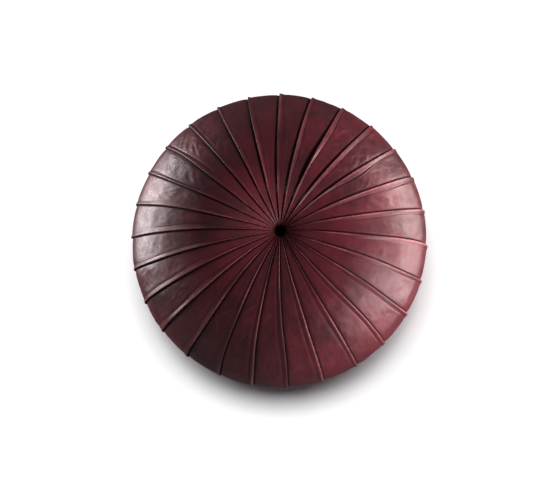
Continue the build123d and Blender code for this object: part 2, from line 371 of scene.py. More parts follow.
def puckers(seed, x, along, width, tuck, strength):
    """Small slanting gathers that start at the seams, most of them near the rim."""
    rng = np.random.default_rng(seed)
    total = np.zeros(x.shape)
    lean_to_rim = rng.uniform(0.75, 1.05)
    for _ in range(int(rng.integers(13, 19))):
        foot = rng.normal(0.255, 0.060)
        near = rng.random() < 0.7
        lean = lean_to_rim + rng.normal(0, 0.16)
        reach = rng.uniform(28, 85) * MM
        breadth = rng.uniform(3.6, 7.5) * MM
        height = rng.uniform(0.12, 0.50) * MM * strength
        bend = rng.uniform(-4.0, 4.0)
        inward = x - 1.15 * tuck if near else width - x
        outward = along - foot
        u = inward * math.cos(lean) + outward * math.sin(lean)
        v = -inward * math.sin(lean) + outward * math.cos(lean) + bend * u * u
        rise = smooth(u, -2 * MM, 12 * MM) * (1 - smooth(u, 0.3 * reach, reach))
        narrow = (v / breadth) ** 2
        total += height * rise * (1 - 1.1 * narrow) * np.exp(-narrow)
    return total


def mesh_object(name, vertices, faces):
    """A smooth-shaded mesh object."""
    mesh = bpy.data.meshes.new(name)
    mesh.from_pydata(vertices, [], faces)
    mesh.polygons.foreach_set("use_smooth", np.ones(len(mesh.polygons), bool))
    piece = bpy.data.objects.new(name, mesh)
    bpy.context.scene.collection.objects.link(piece)
    return piece


def grid_object(name, points, attributes, thickness):
    """A sheet from a grid of points, given a thickness, with the attributes its material reads, as 0 to 1."""
    rows, columns = points.shape[:2]
    ids = np.arange(rows * columns).reshape(rows, columns)
    faces = np.stack([ids[:-1, :-1], ids[:-1, 1:], ids[1:, 1:], ids[1:, :-1]], axis=2).reshape(-1, 4)
    piece = mesh_object(name, points.reshape(-1, 3).tolist(), faces.tolist())
    for label, values in attributes.items():
        layer = piece.data.attributes.new(label, "FLOAT", "POINT")
        layer.data.foreach_set("value", np.clip(values, 0, 1).astype(np.float32).ravel())
    solid = piece.modifiers.new("Thickness", "SOLIDIFY")
    solid.thickness = thickness
    solid.offset = -1
    return piece


def simulated_lift(sim_rows, sim_lift, along, share):
    """The simulation's lift at points of a gore: along is each row's length, share the place across."""
    steps = sim_lift.shape[1] - 1
    place = share * steps
    column = np.minimum(place.astype(int), steps - 1)
    mix = place - column
    lift = np.stack([np.interp(along, sim_rows, sim_lift[:, c]) for c in range(steps + 1)], axis=1)
    rows = np.arange(len(along))[:, None]
    return lift[rows, column] * (1 - mix) + lift[rows, column + 1] * mix


def make_gore(index, profile, sim_rows, sim_lift, material):
    """One leather gore, from the gathered neck to the lip round the base."""
    start = seam_line(index, profile)
    end = seam_line(index + 1, profile) - (2 * math.pi if index == GORES - 1 else 0)
    radius = profile.radius
    width = radius * (start - end)
    reach = np.clip(radius / RIM_RADIUS, 0, 1)
    along = profile.length
    flat_line = 0 * along
    rng = np.random.default_rng(300 + index)
    vary = waves(400 + index, 6, 0.4, 0.09)
    middle = np.exp(-(((reach - GAPE_MIDDLE) / GAPE_SPREAD) ** 2))
    tuck = TUCK_WIDTH * reach**0.85 * (1 + 0.14 * vary(along, flat_line)) * rng.uniform(0.9, 1.12)
    tuck = np.minimum(tuck * (1 + 0.55 * middle), 0.42 * width)
    lift = FOLD_LIFT * reach**0.13 * (1 + 0.09 * vary(flat_line, along))
    lift *= 1 + 0.5 * GAPES.get(index - 1, 0) * middle
    gap = np.minimum(GAP_WIDTH, 0.16 * width) * (1 + GAPES.get(index, 0) * middle)
    ridge = rng.uniform(0.04, 0.20)
    ridge += 0.16 * max(0.0, math.cos(seam_azimuth(index) - math.radians(RIDGE_SIDE))) ** 2
    ridge = ridge * (0.7 + 0.3 * vary(along + 0.7, flat_line)) * smooth(reach, 0.15, 0.45)
    pinch = 1.3 * MM * np.exp(-((radius / (60 * MM)) ** 2))
    x, h = gore_section(tuck, lift, width, gap, ridge, pinch)

    across = width[:, None]
    bulge = simulated_lift(sim_rows, sim_lift, along, np.clip(x / across, 0, 1))
    bulge = np.clip(SIM_SHARE * bulge, DEEPEST_DENT, HIGHEST_BULGE)
    panel = smooth(x / tuck[:, None], 0.9, 2.2) * smooth((across - x) / gap[:, None], 0.2, 2.2)

    turn = seam_azimuth(index + 0.5)
    slack = 0.35 + 0.65 * max(0.0, math.cos(2 * (turn - math.radians(PUCKER_AXIS)))) ** 2
    slack = max(slack, 0.35 + 0.65 * max(0.0, math.cos(turn - math.radians(PUCKER_SIDE))) ** 8)
    near_rim = np.exp(-(((radius - 0.88 * RIM_RADIUS) / (0.26 * RIM_RADIUS)) ** 2))[:, None]
    gathers = puckers(800 + index, x, along[:, None], across, tuck[:, None], slack)
    fine = waves(500 + index, 26, 0.030, 0.010)(x * 1.2, along[:, None] * 0.7)
    patch = smooth(waves(700 + index, 7, 0.20, 0.07)(x, along[:, None]), 0.3, 1.5)
    broad = waves(600 + index, 9, 0.20, 0.06)(x, along[:, None] * 0.6)
    ruck = 0.10 * MM * fine * (0.3 + 0.7 * patch) * (0.3 + 0.7 * near_rim)
    sway = 0.35 * MM * broad * reach[:, None]
    h = h + panel * (bulge + gathers + ruck + sway)

    azimuth = start[:, None] - x / radius[:, None]
    out = radius[:, None] + h * profile.normal[:, :1]
    up = profile.height[:, None] + h * profile.normal[:, 1:]
    turned_under = np.arange(x.shape[1]) < TURNED_COLUMNS
    lowest = np.where(turned_under, LEATHER + 2 * FLOOR_CLEARANCE, FLOOR_CLEARANCE)
    up = np.where(radius[:, None] > CONTACT_RADIUS * 0.9, np.maximum(up, lowest), up)
    drawn = HOLE_SHIFT * np.exp(-((radius[:, None] / HOLE_SHIFT_REACH) ** 2))
    points = np.stack([out * np.cos(azimuth) + drawn, out * np.sin(azimuth), up], axis=2)

    level = h / lift[:, None]
    # Fold crests made paler: partly real scuffing of the leather, partly a painted highlight along the crest
    # lines
    crest = smooth(level, 0.70, 0.98) * (x < 0.35 * tuck[:, None])
    pale_wear_and_highlight = crest * (0.55 + 0.45 * np.clip(vary(along, 3 + flat_line), -1, 1))[:, None]
    # Painted shade: near black in the gap under the next gore's fold, and on the turned-under edge beneath
    # the crest
    shade = smooth(x, (width - 1.05 * gap)[:, None], (width - 0.6 * gap)[:, None])
    turned = 1 - smooth(np.arange(x.shape[1]), 4, 7)[None, :]
    rub = smooth(gathers / MM, 0.12, 0.6) * panel
    # Painted highlight round the hole: pale all round, strongest on one side, where the pleats catch the
    # light
    hole_highlight_strength = 0.10 + 0.42 * max(0.0, math.cos(turn - math.radians(HOLE_HIGHLIGHT_SIDE)))
    hole_highlight = hole_highlight_strength * np.exp(-((radius[:, None] / HOLE_HIGHLIGHT_RADIUS) ** 2)) * (1 + crest)
    # Pale mark: crest paleness (scuffing and painted highlight), scuffing on pucker ridges, painted highlight
    # round the hole. Dark mark: painted shade in the gap and on the turned-under edge
    attributes = {
        "wear_and_highlight": pale_wear_and_highlight + 0.12 * rub + hole_highlight,
        "painted_shade_and_stitching": shade + turned,
        "tone": np.full_like(x, rng.uniform(0, 1)),
    }
    name = f"leather_gore_{index + 1:02d}"
    piece = grid_object(name, points, attributes, LEATHER)
    piece.data.materials.append(material)
    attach(piece, BODY)
    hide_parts(f"gore_{index + 1:02d}")
    return piece


# ---------------------------------------------------------------- inside and underneath

def wrapped_object(name, points):
    """A mesh from a grid of points that closes round its columns and round its rows."""
    columns, rows = points.shape[:2]
    ids = np.arange(columns * rows).reshape(columns, rows)
    beside = np.roll(ids, -1, axis=0)
    below, beside_below = np.roll(ids, -1, axis=1), np.roll(beside, -1, axis=1)
    faces = np.stack([ids, below, beside_below, beside], axis=2).reshape(-1, 4).tolist()
    return mesh_object(name, points.reshape(-1, 3).tolist(), faces)


def dress_piece(piece, material, slot_name, *nodes):
    """Gives a piece its material and body, and hides the CAD nodes that it stands for; slot_name is not used.
    """
    piece.data.materials.append(material)
    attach(piece, BODY)
    if nodes:
        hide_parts(*nodes)
    return piece


def stuffing_surface(inset, floor):
    """One surface of the stuffing, moved in from the cover, from the well's bore to the base's bore."""
    well = WELL_RADIUS + inset
    dimple_start = math.acos((well - CROWN_RADIUS) / (DIMPLE_CURVE - inset))
    low_turn = math.asin((BASE_CURVE - floor) / (BASE_CURVE - inset))
    bottom = WELL_FLOOR - inset
    top = CROWN_TOP - DIMPLE_CURVE + (DIMPLE_CURVE - inset) * math.sin(dimple_start)
    foot = CONTACT_RADIUS + (BASE_CURVE - inset) * math.cos(low_turn)
    steps = np.linspace(0, 1, 14, endpoint=False)[:, None]
    many = np.linspace(0, 1, 60)[:, None]
    return np.concatenate([
        np.array([TIE_BORE, bottom]) + steps * np.array([well - TIE_BORE, 0]),
        np.array([well, bottom]) + steps * np.array([0, top - bottom]),
        arc((CROWN_RADIUS, CROWN_TOP - DIMPLE_CURVE), DIMPLE_CURVE - inset, dimple_start, math.pi / 2, 24),
        arc((CROWN_RADIUS, CROWN_TOP - CROWN_CURVE), CROWN_CURVE - inset, math.pi / 2, SHOULDER, 60),
        arc((RIM_RADIUS - RIM_CURVE, RIM_HEIGHT), RIM_CURVE - inset, SHOULDER, 0, 26),
        arc((RIM_RADIUS - BELLY_CURVE, RIM_HEIGHT), BELLY_CURVE - inset, 0, -RIM_TURN, 30),
        arc((CONTACT_RADIUS, BASE_CURVE), BASE_CURVE - inset, -RIM_TURN, -low_turn, 18),
        np.array([foot, floor]) + many * np.array([TIE_BORE - foot, 0]),
    ])


def turned_piece(name, section, columns, offset):
    """Turns a closed section round the axis; offset(azimuth, radius, height) pushes its surface outward."""
    following, before = np.roll(section, -1, axis=0), np.roll(section, 1, axis=0)
    slope = following - before
    slope /= np.maximum(np.linalg.norm(slope, axis=1), 1e-9)[:, None]
    azimuth = np.linspace(0, 2 * math.pi, columns, endpoint=False)[:, None]
    radius, height = section[None, :, 0], section[None, :, 1]
    push = offset(azimuth, radius, height)
    out = radius - slope[None, :, 1] * push
    up = height + slope[None, :, 0] * push
    points = np.stack([out * np.cos(azimuth), out * np.sin(azimuth), up + 0 * azimuth], axis=2)
    return wrapped_object(name, points)


def make_stuffing(cotton, wadding, foam):
    """The cotton bag, the wadding wrap and the core."""
    weave = waves(21, 16, 0.12, 0.03)
    lumps = waves(22, 24, 0.08, 0.02)
    crumbs = waves(23, 40, 0.03, 0.008)

    def roll_out(azimuth, radius, height):
        return azimuth * RIM_RADIUS, radius - height

    def bag_folds(azimuth, radius, height):
        seam = np.abs(np.sin(4 * azimuth)) * radius / 4
        pleats = np.cos(44 * azimuth) * np.exp(-(radius - WELL_RADIUS) / (28 * MM)) * (radius > WELL_RADIUS)
        seam_bead = np.exp(-((seam / (1.6 * MM)) ** 2))
        cloth = 0.35 * MM * weave(*roll_out(azimuth, radius, height))
        return cloth + 0.5 * MM * pleats + 0.5 * MM * seam_bead - 0.6 * MM

    def quilting(azimuth, radius, height):
        channel = np.abs(np.sin(8 * azimuth)) * radius / 8
        stitched = np.exp(-((channel / (4 * MM)) ** 2))
        return 0.7 * MM * lumps(*roll_out(azimuth, radius, height)) - 1.5 * MM * stitched

    def crumbling(azimuth, radius, height):
        return 0.5 * MM * crumbs(*roll_out(azimuth, radius, height)) - 0.8 * MM

    def ring(inset, floor, thickness):
        outer = stuffing_surface(inset, floor)
        inner = stuffing_surface(inset + thickness, floor + thickness)
        return np.concatenate([outer, inner[::-1]])

    bag_section = ring(LINER_INSET, LINER_FLOOR, 0.8 * MM)
    bag = turned_piece("cotton_bag", bag_section, 264, bag_folds)
    dress_piece(bag, cotton, "liner_cotton", "inner_liner")
    wrap = turned_piece("wadding_quilt", ring(WADDING_INSET, WADDING_FLOOR, 10.0 * MM), 240, quilting)
    dress_piece(wrap, wadding, "wadding", "wadding_wrap")
    core = turned_piece("stuffing_core", stuffing_surface(CORE_INSET, CORE_FLOOR), 280, crumbling)
    dress_piece(core, foam, "core_foam", "foam_core")


ZIP_MIDDLE = (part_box("base_panel_front")[1].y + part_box("base_panel_rear")[0].y) / 2
ZIP_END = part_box("zip_bottom_stop")[1].x + 2.0 * MM
PANEL_GAP = 0.2 * MM
# Stitching lines, from the zip's opening and from the round seam
ZIP_STITCH = 5 * MM
RIM_STITCH = 6 * MM
STITCH_PITCH = 5.0 * MM
STITCH_LENGTH = 3.4 * MM


def base_panel(name, node, edge_y, side, material):
    """One half of the leather base, slack in the middle: from the zip's opening to the round seam.

    The two halves meet beyond the ends of the zip.
    """
    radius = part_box("base_panel_rear")[1].y
    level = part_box(node)[0].z
    corner_y = ZIP_MIDDLE + side * PANEL_GAP
    half = math.sqrt(radius**2 - corner_y**2)
    s = np.linspace(0, 1, 190)[None, :]
    t = np.linspace(0, 1, 70)[:, None]
    first = math.atan2(corner_y, -half) % (2 * math.pi)
    last = math.atan2(corner_y, half) % (2 * math.pi)
    if side > 0:
        last = last - 2 * math.pi if last > first else last
    turn = first + (last - first) * s
    edge_x = -half + 2 * half * s
    edge = edge_y + (corner_y - edge_y) * smooth(np.abs(edge_x), ZIP_END, ZIP_END + 5 * MM)
    x = (1 - t) * edge_x + t * radius * np.cos(turn)
    y = (1 - t) * edge + t * radius * np.sin(turn)
    from_rim = radius - np.hypot(x, y)
    from_zip = side * (y - edge_y)
    slackness = smooth(from_rim, 0, 45 * MM) * smooth(from_zip, 0, 40 * MM)
    ripple = waves(61 + side, 14, 0.18, 0.035)(x, y)
    gathers = np.cos(108 * np.arctan2(y, x)) * np.exp(-from_rim / (9 * MM))
    by_zip = np.exp(-(((from_zip - ZIP_STITCH) / (1.5 * MM)) ** 2))
    by_rim = np.exp(-(((from_rim - RIM_STITCH) / (1.6 * MM)) ** 2))
    stitched = np.clip(by_zip + by_rim, 0, 1)
    sag = slackness * (1.3 * MM + 0.5 * MM * ripple)
    z = level - sag + 0.22 * MM * gathers + 0.35 * MM * stitched
    points = np.stack([x, y, z], axis=2)
    if side < 0:
        points = points[::-1]
    piece = grid_object(name, points, {
        "wear_and_highlight": 0.35 * slackness * smooth(ripple, 0.2, 1.2),
        "painted_shade_and_stitching": stitched * 0.5,
        "tone": np.full_like(x, 0.4),
    }, -1.3 * MM)
    dress_piece(piece, material, "base_leather", node)


def threads(name, paths, thickness, material):
    """Sewing thread: one short, sunken stitch along each path, as closed beads in one mesh."""
    sides, steps = 6, 7
    vertices, faces = [], []
    ring_turn = np.linspace(0, 2 * math.pi, sides, endpoint=False)
    for start, end, sink in paths:
        start, end, sink = np.array(start), np.array(end), np.array(sink)
        along = (end - start) / np.linalg.norm(end - start)
        away = sink / np.linalg.norm(sink)
        across = np.cross(along, away)
        first = len(vertices)
        for step in np.linspace(0, 1, steps):
            bow = math.sin(math.pi * step)
            centre = start + (end - start) * step - sink * bow
            width = thickness / 2 * (0.45 + 0.55 * bow**0.5)
            for turn in ring_turn:
                vertices.append(centre + width * (math.cos(turn) * across + math.sin(turn) * away))
        for row in range(steps - 1):
            for k in range(sides):
                a, b = first + row * sides + k, first + row * sides + (k + 1) % sides
                faces.append((a, b, b + sides, a + sides))
        faces.append([first + k for k in range(sides)][::-1])
        faces.append([first + (steps - 1) * sides + k for k in range(sides)])
    piece = mesh_object(name, [tuple(v) for v in vertices], faces)
    return dress_piece(piece, material, "waxed_cord")


def make_base(leather, cord):
    """The two base panels, the piping round them, and the stitching."""
    front_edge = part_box("base_panel_front")[1].y
    rear_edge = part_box("base_panel_rear")[0].y
    base_panel("base_leather_front", "base_panel_front", front_edge, -1, leather)
    base_panel("base_leather_rear", "base_panel_rear", rear_edge, 1, leather)
    low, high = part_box("base_welt")
    wire = (high.z - low.z) / 2
    turn = np.linspace(0, 2 * math.pi, 18, endpoint=False)
    section = np.stack([
        high.x - wire + wire * np.cos(turn),
        (low.z + high.z) / 2 + wire * np.sin(turn),
    ], axis=1)

    def piping(azimuth, radius, height):
        return 0.10 * MM * np.sin(330 * azimuth + 0 * radius) + 0.08 * MM * np.sin(97 * azimuth) - 0.12 * MM

    welt = turned_piece("base_piping", section[::-1], 1400, piping)
    dress_piece(welt, leather, "base_leather", "base_welt")
    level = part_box("base_panel_front")[0].z + 0.30 * MM
    down = (0, 0, 0.45 * MM)
    seam_radius = high.x - RIM_STITCH
    count = int(2 * math.pi * seam_radius / STITCH_PITCH)
    half_turn = STITCH_LENGTH / 2 / seam_radius
    paths = []
    for k in range(count):
        middle = 2 * math.pi * k / count
        ends = (middle - half_turn, middle + half_turn)
        spots = [(seam_radius * math.cos(a), seam_radius * math.sin(a), level) for a in ends]
        if not front_edge - 2 * MM < spots[0][1] < rear_edge + 2 * MM:
            paths.append((spots[0], spots[1], down))
    half = math.sqrt(seam_radius**2 - front_edge**2) - 4 * MM
    for edge, side in ((front_edge, -1), (rear_edge, 1)):
        y = edge + side * ZIP_STITCH
        for x in np.arange(-half, half, STITCH_PITCH):
            paths.append(((x, y, level), (x + STITCH_LENGTH, y, level), down))
    for end in (-1, 1):
        for row in range(3):
            x = end * (ZIP_END + (4.5 + 1.1 * row) * MM)
            paths.append(((x, ZIP_MIDDLE - 4 * MM, level), (x, ZIP_MIDDLE + 4 * MM, level), down))
    threads("base_stitching", paths, 0.9 * MM, cord)


CORD_STEPS = 360
CORD_SIDES = 8
CORD_TWISTS = 130


def make_drawstring(material):
    """The drawstring round the gathered necks: a closed ring of three strands, twisted so often a metre."""
    low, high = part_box("gather_cord")
    wire = (high.z - low.z) / 2
    radius = high.x - wire
    share = np.linspace(0, 1, CORD_STEPS, endpoint=False)
    turn = 2 * math.pi * share
    out = np.stack([np.cos(turn), np.sin(turn), 0 * turn], axis=1)
    up = np.tile([0.0, 0.0, 1.0], (CORD_STEPS, 1))
    line = radius * out + np.array([0, 0, (low.z + high.z) / 2])
    twists = round(CORD_TWISTS * (2 * math.pi * radius))
    side = np.linspace(0, 2 * math.pi, CORD_SIDES, endpoint=False)
    around = np.cos(side)[None, :, None] * out[:, None, :] + np.sin(side)[None, :, None] * up[:, None, :]
    vertices, faces = [], []
    for strand in range(3):
        twist = 2 * math.pi * (twists * share + strand / 3)
        middle = line + 0.46 * wire * (np.cos(twist)[:, None] * out + np.sin(twist)[:, None] * up)
        ids = np.arange(CORD_STEPS * CORD_SIDES).reshape(CORD_STEPS, CORD_SIDES) + len(vertices)
        vertices += (middle[:, None, :] + 0.53 * wire * around).reshape(-1, 3).tolist()
        ahead = np.roll(ids, -1, axis=0)
        beside, beside_ahead = np.roll(ids, -1, axis=1), np.roll(ahead, -1, axis=1)
        faces += np.stack([ids, beside, beside_ahead, ahead], axis=2).reshape(-1, 4).tolist()
    piece = mesh_object("drawstring", vertices, faces)
    dress_piece(piece, material, "waxed_cord", "gather_cord")


# ---------------------------------------------------------------- materials

class Nodes:
    """Short forms for building a material's node tree."""

    def __init__(self, name):
        self.material = bpy.data.materials.new(name)
        self.material.use_nodes = True
        self.tree = self.material.node_tree
        self.shader = self.tree.nodes["Principled BSDF"]
        self.coords = self.tree.nodes.new("ShaderNodeTexCoord").outputs["Object"]

    def link(self, source, target):
        self.tree.links.new(source, target)

    def noise(self, scale, detail=3.0, rough=0.55, stretch=None):
        node = self.tree.nodes.new("ShaderNodeTexNoise")
        node.inputs["Scale"].default_value = scale
        node.inputs["Detail"].default_value = detail
        node.inputs["Roughness"].default_value = rough
        source = self.coords
        if stretch:
            mapping = self.tree.nodes.new("ShaderNodeMapping")
            mapping.inputs["Scale"].default_value = stretch
            self.link(source, mapping.inputs["Vector"])
            source = mapping.outputs["Vector"]
        self.link(source, node.inputs["Vector"])
        return node.outputs["Fac"]

    def cells(self, scale, feature="F1"):
        node = self.tree.nodes.new("ShaderNodeTexVoronoi")
        node.feature = feature
        node.inputs["Scale"].default_value = scale
        self.link(self.coords, node.inputs["Vector"])
        return node.outputs["Distance"]

    def attribute(self, name):
        node = self.tree.nodes.new("ShaderNodeAttribute")
        node.attribute_name = name
        return node.outputs["Fac"]

    def remap(self, source, low, high, to_low=0.0, to_high=1.0):
        node = self.tree.nodes.new("ShaderNodeMapRange")
        for label, value in (("From Min", low), ("From Max", high), ("To Min", to_low), ("To Max", to_high)):
            node.inputs[label].default_value = value
        self.link(source, node.inputs["Value"])
        return node.outputs["Result"]

    def maths(self, operation, a, b):
        node = self.tree.nodes.new("ShaderNodeMath")
        node.operation = operation
        for socket, value in zip(node.inputs, (a, b)):
            if isinstance(value, (int, float)):
                socket.default_value = value
            else:
                self.link(value, socket)
        return node.outputs["Value"]

    def mix(self, factor, a, b):
        node = self.tree.nodes.new("ShaderNodeMix")
        node.data_type = "RGBA"
        self.link(factor, node.inputs["Factor"])
        for socket, value in ((node.inputs["A"], a), (node.inputs["B"], b)):
            if isinstance(value, tuple):
                socket.default_value = (*value, 1.0)
            else:
                self.link(value, socket)
        return node.outputs["Result"]

    def bump(self, height, strength, distance, normal=None):
        node = self.tree.nodes.new("ShaderNodeBump")
        node.inputs["Strength"].default_value = strength
        node.inputs["Distance"].default_value = distance
        self.link(height, node.inputs["Height"])
        if normal is not None:
            self.link(normal, node.inputs["Normal"])
        return node.outputs["Normal"]

    def finish(self, colour, roughness, normal, **fixed):
        for label, value in fixed.items():
            self.shader.inputs[label.replace("_", " ")].default_value = value
        for source, label in ((colour, "Base Color"), (roughness, "Roughness"), (normal, "Normal")):
            self.link(source, self.shader.inputs[label])
        return self.material


def leather_material(name, dark, mid, pale_wear_and_highlight, rough_low, rough_high, shine):
    """Waxed leather: mottled patina; pale edges, part scuffing and part painted highlight; near-black painted
    shade in the gaps under the folds, and darker stitch lines on the base; fine grain and pores.
    """
    n = Nodes(name)
    cloud = n.remap(n.noise(9.0, 5.0, 0.6), 0.38, 0.64)
    mottle = n.remap(n.noise(46.0, 6.0, 0.65), 0.36, 0.66)
    tone = n.attribute("tone")
    wear_and_highlight = n.attribute("wear_and_highlight")
    painted_shade_and_stitching = n.attribute("painted_shade_and_stitching")
    body = n.maths("ADD", n.maths("MULTIPLY", cloud, 0.50), n.maths("MULTIPLY", mottle, 0.28))
    body = n.maths("ADD", body, n.maths("MULTIPLY", tone, 0.34))
    colour = n.mix(n.remap(body, 0.15, 1.0), dark, mid)
    scuff = n.maths("MULTIPLY", n.remap(n.noise(150.0, 4.0, 0.7), 0.42, 0.62), 0.55)
    # Pale tint: scuffing, and painted highlights on the fold crests and round the hole
    rubbed_and_highlit = n.maths("MULTIPLY", wear_and_highlight, n.maths("ADD", scuff, 0.45))
    colour = n.mix(rubbed_and_highlit, colour, pale_wear_and_highlight)
    # Painted shade: near black in the gaps under the folds and on the turned-under edges; on the base, darker
    # stitch lines
    colour = n.mix(n.maths("MULTIPLY", painted_shade_and_stitching, 0.92), colour, tuple(0.12 * c for c in dark))
    grain = n.cells(1150.0, "DISTANCE_TO_EDGE")
    pores = n.noise(2100.0, 2.0, 0.5)
    folds = n.noise(230.0, 4.0, 0.6)
    wrinkles = n.noise(75.0, 7.0, 0.72)
    rough = n.maths("ADD", n.maths("MULTIPLY", mottle, 0.5), n.maths("MULTIPLY", n.noise(120.0, 3.0), 0.5))
    roughness = n.remap(rough, 0.2, 0.8, rough_low, rough_high)
    roughness = n.maths("ADD", roughness, n.maths("MULTIPLY", painted_shade_and_stitching, 0.6))
    normal = n.bump(n.remap(grain, 0.0, 0.12), 0.10, 0.25 * MM)
    normal = n.bump(pores, 0.08, 0.2 * MM, normal)
    normal = n.bump(folds, 0.18, 0.5 * MM, normal)
    normal = n.bump(wrinkles, 0.15, 1.2 * MM, normal)
    return n.finish(colour, roughness, normal, Specular_IOR_Level=shine)


def woven_material(name, dark, light, scale, rotation, rough=0.9, sheen=0.3):
    """Cloth or cord: crossed threads, uneven dye and a soft sheen."""
    n = Nodes(name)
    weave = n.tree.nodes.new("ShaderNodeTexWave")
    weave.inputs["Scale"].default_value = scale
    weave.inputs["Distortion"].default_value = 0.6
    mapping = n.tree.nodes.new("ShaderNodeMapping")
    mapping.inputs["Rotation"].default_value = rotation
    n.link(n.coords, mapping.inputs["Vector"])
    n.link(mapping.outputs["Vector"], weave.inputs["Vector"])
    thread = n.maths("MULTIPLY", weave.outputs["Fac"], n.remap(n.noise(scale * 2.2, 2.0), 0.3, 0.7, 0.6, 1.0))
    colour = n.mix(n.maths("MULTIPLY", thread, n.remap(n.noise(30.0), 0.3, 0.7, 0.6, 1.0)), dark, light)
    normal = n.bump(thread, 0.35, 0.3 * MM)
    roughness = n.remap(thread, 0.0, 1.0, rough, rough - 0.12)
    return n.finish(colour, roughness, normal, Sheen_Weight=sheen)


def foam_material(name, dark, light, scale):
    """Soft open stuffing: cells or tangled fibres with an uneven tint."""
    n = Nodes(name)
    holes = n.remap(n.cells(scale), 0.05, 0.6)
    colour = n.mix(n.maths("MULTIPLY", holes, n.remap(n.noise(20.0, 4.0), 0.3, 0.7, 0.7, 1.0)), dark, light)
    return n.finish(colour, n.remap(holes, 0, 1, 0.95, 0.85), n.bump(holes, 0.5, 0.8 * MM))


def wood_material(name):
    """Turned beech: growth rings, flecks and a dull oil finish."""
    n = Nodes(name)
    rings = n.noise(60.0, 3.0, 0.5, (1.0, 8.0, 1.0))
    fleck = n.noise(700.0, 2.0, 0.6, (0.2, 3.0, 1.0))
    colour = n.mix(n.remap(rings, 0.3, 0.7), (0.30, 0.17, 0.08), (0.52, 0.34, 0.19))
    colour = n.mix(n.remap(fleck, 0.55, 0.75, 0.0, 0.4), colour, (0.20, 0.11, 0.05))
    return n.finish(colour, n.remap(rings, 0.3, 0.7, 0.62, 0.48), n.bump(fleck, 0.2, 0.2 * MM))


def brass_material(name):
    """Aged zip brass: dull dark patches and scratches."""
    n = Nodes(name)
    patch = n.remap(n.noise(240.0, 5.0, 0.6), 0.35, 0.65)
    scratch = n.noise(1800.0, 2.0, 0.5, (1.0, 9.0, 9.0))
    colour = n.mix(patch, (0.16, 0.105, 0.045), (0.52, 0.37, 0.16))
    roughness = n.remap(patch, 0, 1, 0.52, 0.28)
    return n.finish(colour, roughness, n.bump(scratch, 0.12, 0.1 * MM), Metallic=1.0)


def dress(node, material):
    """Gives a carried-over CAD node its material."""
    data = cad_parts[node].data
    data.materials.clear()
    data.materials.append(material)


# ---------------------------------------------------------------- stage

FLOOR_HALF = 14.0
FLOOR_DROP = 0.2 * MM


def make_floor():
    """Plain pale floor under the pouf, just below its base."""
    mesh = bpy.data.meshes.new("floor")
    corners = [(x * FLOOR_HALF, y * FLOOR_HALF, 0) for x, y in ((-1, -1), (1, -1), (1, 1), (-1, 1))]
    mesh.from_pydata(corners, [], [(0, 1, 2, 3)])
    floor = bpy.data.objects.new("floor", mesh)
    bpy.context.scene.collection.objects.link(floor)
    material = bpy.data.materials.new("floor_paint")
    material.use_nodes = True
    shader = material.node_tree.nodes["Principled BSDF"]
    shader.inputs["Base Color"].default_value = (0.90, 0.90, 0.905, 1)
    shader.inputs["Roughness"].default_value = 0.9
    shader.inputs["Specular IOR Level"].default_value = 0.1
    mesh.materials.append(material)
    floor.location.z = -FLOOR_DROP
    floor.visible_glossy = False
    return floor


def aim(obj, target):
    """Turns a lamp or camera so that it looks at target."""
    away = obj.location - Vector(target)
    obj.rotation_mode = "QUATERNION"
    obj.rotation_quaternion = away.to_track_quat("Z", "Y")


def soft_box(name, spot, target, size, power, colour=(1, 1, 1)):
    """A rectangular studio lamp that the camera doesn't see."""
    lamp = bpy.data.lights.new(name, "AREA")
    lamp.shape = "RECTANGLE"
    lamp.size, lamp.size_y = size
    lamp.energy = power
    lamp.color = colour
    obj = bpy.data.objects.new(name, lamp)
    bpy.context.scene.collection.objects.link(obj)
    obj.location = spot
    aim(obj, target)
    obj.visible_camera = False
    return obj


def link_light(lamp, name, receivers):
    """Makes a lamp light these objects alone."""
    group = bpy.data.collections.new(name)
    for obj in receivers:
        group.objects.link(obj)
    lamp.light_linking.receiver_collection = group


# Soft boxes round the pouf: azimuth in degrees, lowest and highest edge, width, power in watts, colour
SOFT_BOXES = (
    ("low_right", 2, 0.01, 0.22, 1.20, 10.5, (1.0, 0.72, 0.71)),
    ("mid_right", 22, 0.20, 0.46, 0.50, 2.8, (1.0, 0.68, 0.67)),
    ("key", 330, 0.20, 0.85, 0.70, 6.0, (1.0, 0.80, 0.84)),
    ("low_left", 162, 0.01, 0.13, 1.00, 12.0, (1.0, 0.88, 0.90)),
)
SOFT_BOX_DISTANCE = 1.15
LIT_CENTRE = (0, 0, 0.15)
FILL_PLACE = (1.5, 0.05, 1.35)
FILL_SIZE = (0.9, 0.9)
FILL_POWER = 30
SUN_STRENGTH = 1.95
SUN_SPREAD = 25
SUN_PLACE = (1.0, 1.8, 6.1)


def light_studio(floor, pieces):
    """Soft boxes and a fill for these pieces, and two soft suns for the floor alone."""
    centre = Vector(LIT_CENTRE)
    lamps = []
    for name, azimuth, low, high, width, power, colour in SOFT_BOXES:
        turn = math.radians(azimuth)
        spot = (SOFT_BOX_DISTANCE * math.cos(turn), SOFT_BOX_DISTANCE * math.sin(turn), (low + high) / 2)
        lamps.append(soft_box("soft_box_" + name, spot, centre, (width, high - low), power, colour))
    fill = soft_box("soft_box_fill", FILL_PLACE, centre, FILL_SIZE, FILL_POWER)
    fill.visible_glossy = False  # no reflection of it on the leather
    for lamp in (*lamps, fill):
        link_light(lamp, lamp.name + "_receivers", pieces)
    for side in (-1, 1):
        sun = bpy.data.lights.new("floor_light", "SUN")
        sun.energy = SUN_STRENGTH
        sun.angle = math.radians(SUN_SPREAD)
        above = bpy.data.objects.new("floor_light", sun)
        bpy.context.scene.collection.objects.link(above)
        above.location = (side * SUN_PLACE[0], *SUN_PLACE[1:])
        aim(above, (0, 0, 0))
        link_light(above, above.name + "_receivers", [floor])


